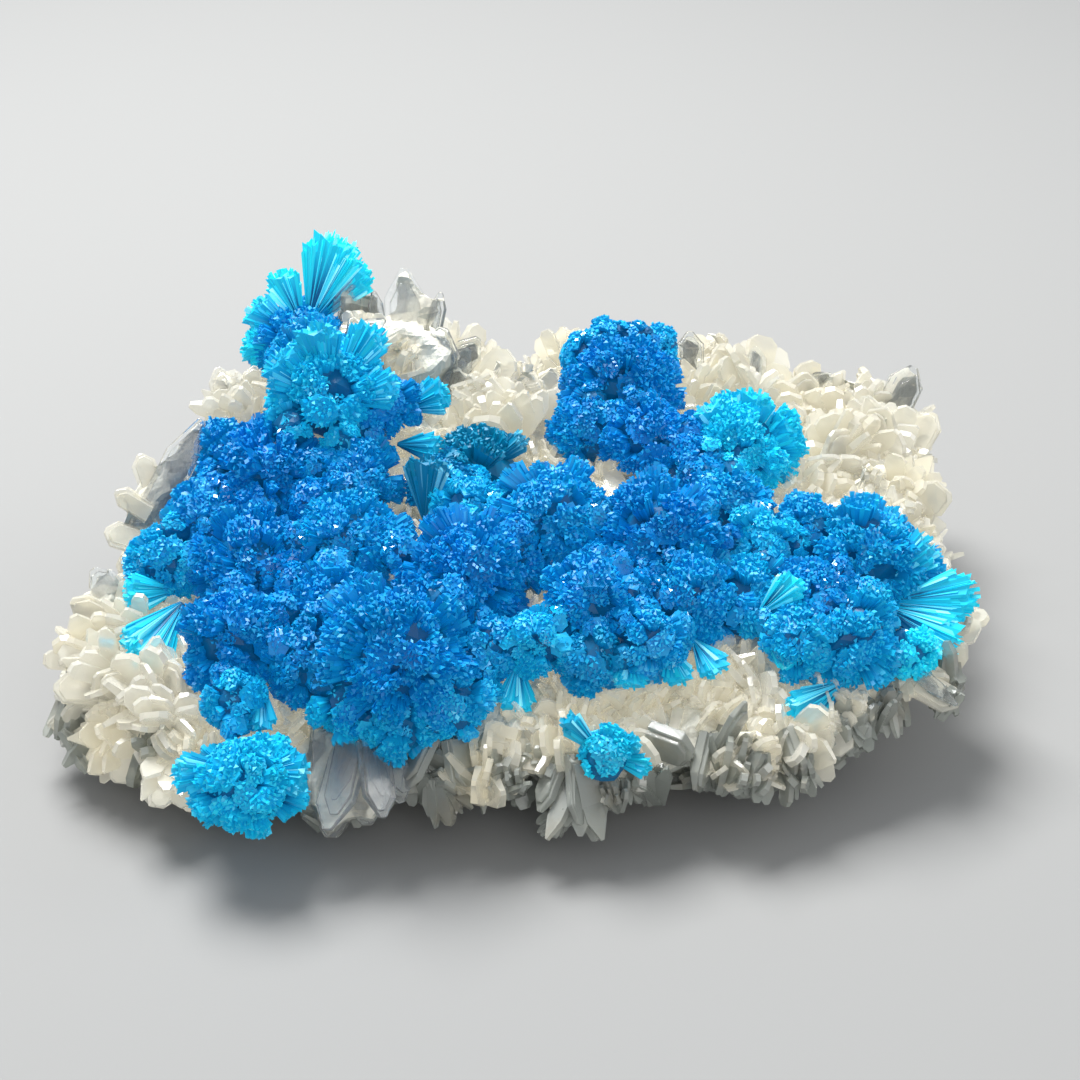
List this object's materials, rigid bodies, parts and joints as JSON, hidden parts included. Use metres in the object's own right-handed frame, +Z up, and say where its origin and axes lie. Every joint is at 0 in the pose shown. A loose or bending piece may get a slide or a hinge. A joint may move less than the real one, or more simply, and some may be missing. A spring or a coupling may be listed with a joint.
{
  "type": "cavansite mineral specimen",
  "caption": "Blue rosettes of radiating cavansite crystals crowded over a rough plate of cream and clear stilbite crystals.",
  "frame": {"origin": "under the middle of the specimen's box, on the surface that it rests on", "axes": "+X to the right along the plate as it is shown, +Y from its front edge to its back, +Z up"},
  "size_m": [0.1018, 0.0797, 0.0434],
  "materials": {
    "stilbite": "cream to clear blades with a pearly lustre",
    "cavansite": "azure blue needles and blades with a vitreous lustre"
  },
  "bodies": {
    "root": {"stilbite_matrix": "stilbite", "cavansite_crust": "cavansite", "cavansite_low_left": "cavansite", "cavansite_front_star": "cavansite", "cavansite_sprig": "cavansite"}
  },
  "joints": []
}
